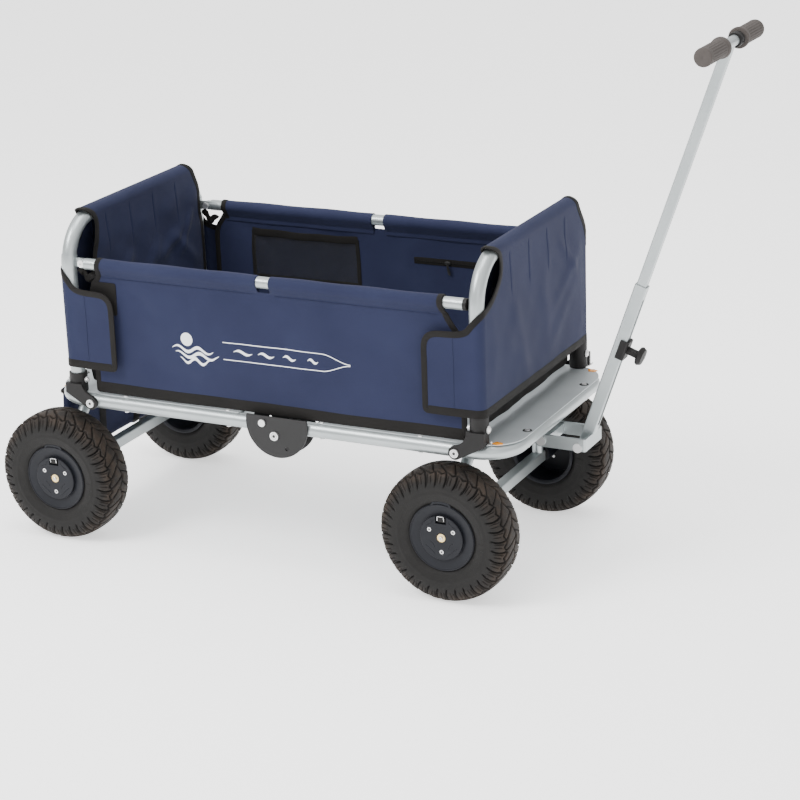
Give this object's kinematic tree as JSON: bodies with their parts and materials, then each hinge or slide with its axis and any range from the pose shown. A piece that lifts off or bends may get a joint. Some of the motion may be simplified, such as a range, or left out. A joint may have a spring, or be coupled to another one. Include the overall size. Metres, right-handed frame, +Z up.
{
  "type": "beach cart",
  "caption": "Folding beach cart with a fabric load bed on a tube frame, balloon-tyred quick-release wheels, a steered front axle and a telescopic T-handle drawbar.",
  "frame": {"origin": "centre of the cart's footprint, on the ground", "axes": "+X towards the drawbar, +Y to the cart's left, +Z up"},
  "size_m": [1.4308, 0.555, 1.0244],
  "materials": {
    "silver_tube": "satin silver powder coat",
    "deck_silver": "satin silver sheet",
    "bright_steel": "bright",
    "brass": "satin",
    "black_plastic": "moulded",
    "rim_plastic": "moulded",
    "hinge_dark": "dark coat",
    "tyre": "rubber",
    "grip_rubber": "soft",
    "navy_fabric": "woven polyester"
  },
  "bodies": {
    "rear_half": {"rear_deck_frame": "silver_tube", "rear_deck_plate": "deck_silver", "rear_deck_rivets": "bright_steel", "rear_bow": "silver_tube", "rear_bow_brackets": "black_plastic", "rear_frame_bolts": "bright_steel", "side_rail_left": "silver_tube", "side_rail_right": "silver_tube", "rail_end_plugs": "black_plastic", "rail_clamps": "black_plastic", "rear_axle_frame": "silver_tube", "rear_axle_pins": "brass", "side_panel_left": "navy_fabric", "side_panel_right": "navy_fabric", "rear_panel": "navy_fabric", "storage_bag": "navy_fabric"},
    "front_half": {"front_deck_frame": "silver_tube", "front_deck_plate": "deck_silver", "front_deck_rivets": "bright_steel", "fold_cheeks": "hinge_dark", "fold_bolts": "bright_steel", "front_bow": "silver_tube", "front_bow_brackets": "black_plastic", "front_frame_bolts": "bright_steel", "front_panel": "navy_fabric", "turntable_plate": "silver_tube", "kingpin": "bright_steel"},
    "steering": {"front_axle_frame": "silver_tube", "front_axle_pins": "brass", "yoke_pivot_bolt": "bright_steel"},
    "drawbar": {"drawbar_yoke": "silver_tube", "drawbar_foot_bolt": "bright_steel", "drawbar_outer": "silver_tube"},
    "handle": {"drawbar_inner": "silver_tube", "drawbar_clamp": "black_plastic", "handle_crossbar": "silver_tube", "handle_grips": "grip_rubber"},
    "clamp_knob": {"clamp_knob": "black_plastic"},
    "lock_pin_left": {"lock_pin_left": "bright_steel"},
    "lock_pin_right": {"lock_pin_right": "bright_steel"},
    "wheel_rear_left": {"tyre_rear_left": "tyre", "rim_rear_left": "rim_plastic", "hub_cap_rear_left": "rim_plastic", "hub_screws_rear_left": "bright_steel"},
    "latch_rear_left": {"wheel_latch_rear_left": "black_plastic"},
    "wheel_rear_right": {"tyre_rear_right": "tyre", "rim_rear_right": "rim_plastic", "hub_cap_rear_right": "rim_plastic", "hub_screws_rear_right": "bright_steel"},
    "latch_rear_right": {"wheel_latch_rear_right": "black_plastic"},
    "wheel_front_left": {"tyre_front_left": "tyre", "rim_front_left": "rim_plastic", "hub_cap_front_left": "rim_plastic", "hub_screws_front_left": "bright_steel"},
    "latch_front_left": {"wheel_latch_front_left": "black_plastic"},
    "wheel_front_right": {"tyre_front_right": "tyre", "rim_front_right": "rim_plastic", "hub_cap_front_right": "rim_plastic", "hub_screws_front_right": "bright_steel"},
    "latch_front_right": {"wheel_latch_front_right": "black_plastic"}
  },
  "joints": [
    {"name": "deck_fold", "type": "hinge", "parent": "rear_half", "child": "front_half", "pos_m": [-0.09539, 0, 0.275], "axis": [0, 1, 0], "range_deg": [0, 95]},
    {"name": "steering_swivel", "type": "hinge", "parent": "front_half", "child": "steering", "pos_m": [0.25261, 0, 0.251], "axis": [0, 0, 1], "range_deg": [-32, 32]},
    {"name": "drawbar_pitch", "type": "hinge", "parent": "steering", "child": "drawbar", "pos_m": [0.35361, 0, 0.252], "axis": [0, 1, 0], "range_deg": [-8, 60]},
    {"name": "handle_slide", "type": "slide", "parent": "drawbar", "child": "handle", "axis": [0.3351, 0, 0.9422], "range_m": [-0.12, 0.08]},
    {"name": "clamp_knob_turn", "type": "hinge", "parent": "handle", "child": "clamp_knob", "pos_m": [0.52291, 0, 0.42821], "axis": [0.9422, 0, -0.3351], "continuous": true},
    {"name": "lock_pin_left_pull", "type": "slide", "parent": "front_half", "child": "lock_pin_left", "axis": [0, 1, 0], "range_m": [0, 0.008], "stiffness_N_per_m": 400, "springref_m": -0.01},
    {"name": "lock_pin_right_pull", "type": "slide", "parent": "front_half", "child": "lock_pin_right", "axis": [0, -1, 0], "range_m": [0, 0.008], "stiffness_N_per_m": 400, "springref_m": -0.01},
    {"name": "wheel_rear_left_spin", "type": "hinge", "parent": "rear_half", "child": "wheel_rear_left", "pos_m": [-0.58539, 0.235, 0.13], "axis": [0, 1, 0], "continuous": true},
    {"name": "latch_rear_left_press", "type": "slide", "parent": "wheel_rear_left", "child": "latch_rear_left", "axis": [0, 0, -1], "range_m": [0, 0.003], "stiffness_N_per_m": 400, "springref_m": -0.01},
    {"name": "wheel_rear_right_spin", "type": "hinge", "parent": "rear_half", "child": "wheel_rear_right", "pos_m": [-0.58539, -0.235, 0.13], "axis": [0, 1, 0], "continuous": true},
    {"name": "latch_rear_right_press", "type": "slide", "parent": "wheel_rear_right", "child": "latch_rear_right", "axis": [0, 0, -1], "range_m": [0, 0.003], "stiffness_N_per_m": 400, "springref_m": -0.01},
    {"name": "wheel_front_left_spin", "type": "hinge", "parent": "steering", "child": "wheel_front_left", "pos_m": [0.25261, 0.235, 0.13], "axis": [0, 1, 0], "continuous": true},
    {"name": "latch_front_left_press", "type": "slide", "parent": "wheel_front_left", "child": "latch_front_left", "axis": [0, 0, -1], "range_m": [0, 0.003], "stiffness_N_per_m": 400, "springref_m": -0.01},
    {"name": "wheel_front_right_spin", "type": "hinge", "parent": "steering", "child": "wheel_front_right", "pos_m": [0.25261, -0.235, 0.13], "axis": [0, 1, 0], "continuous": true},
    {"name": "latch_front_right_press", "type": "slide", "parent": "wheel_front_right", "child": "latch_front_right", "axis": [0, 0, -1], "range_m": [0, 0.003], "stiffness_N_per_m": 400, "springref_m": -0.01}
  ]
}
